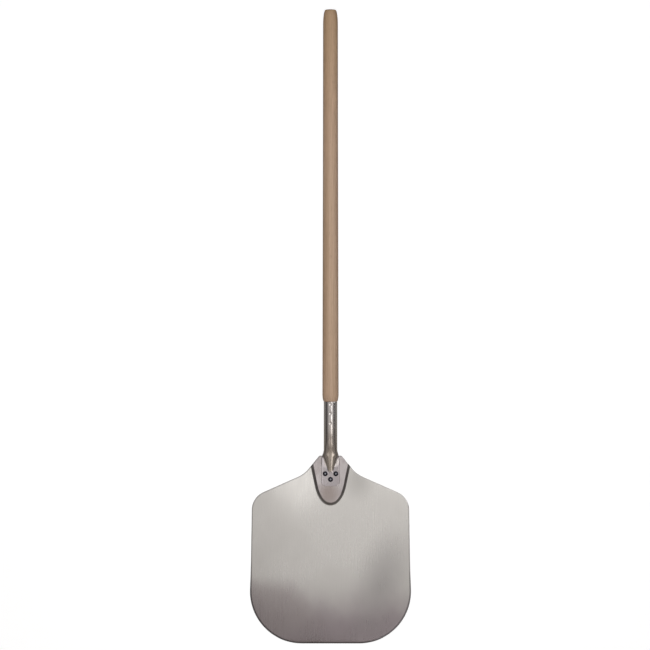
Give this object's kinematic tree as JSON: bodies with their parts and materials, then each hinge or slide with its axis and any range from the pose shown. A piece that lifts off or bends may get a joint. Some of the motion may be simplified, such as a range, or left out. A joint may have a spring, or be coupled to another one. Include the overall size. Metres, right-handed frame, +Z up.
{
  "type": "pizza peel",
  "caption": "Long-handled pizza peel: a flat aluminium blade with a pressed raised neck, a crushed tube socket riveted to it, and a turned wooden handle.",
  "frame": {"origin": "on the blade's flat underside, on its centre line, half a blade width (152.4 mm) behind the front edge", "axes": "+Y along the handle, from the blade's front edge towards the handle's end; +Z up, out of the face the pizza sits on; X across the blade. The peel lies flat."},
  "size_m": [0.3046, 1.199, 0.0308],
  "materials": {
    "blade_aluminium": "fine lengthwise brushed satin, slightly warm, with soft smudges",
    "socket_steel": "polished, drawn lengthwise, slightly warm",
    "handle_wood": "satin, pinkish brown hardwood, straight lengthwise grain",
    "rivet_steel": "blackened, worn bright on top of the dome"
  },
  "bodies": {
    "root": {"blade": "blade_aluminium", "socket_tube": "socket_steel", "handle": "handle_wood", "rivet_left": "rivet_steel", "rivet_right": "rivet_steel", "rivet_front": "rivet_steel"}
  },
  "joints": []
}
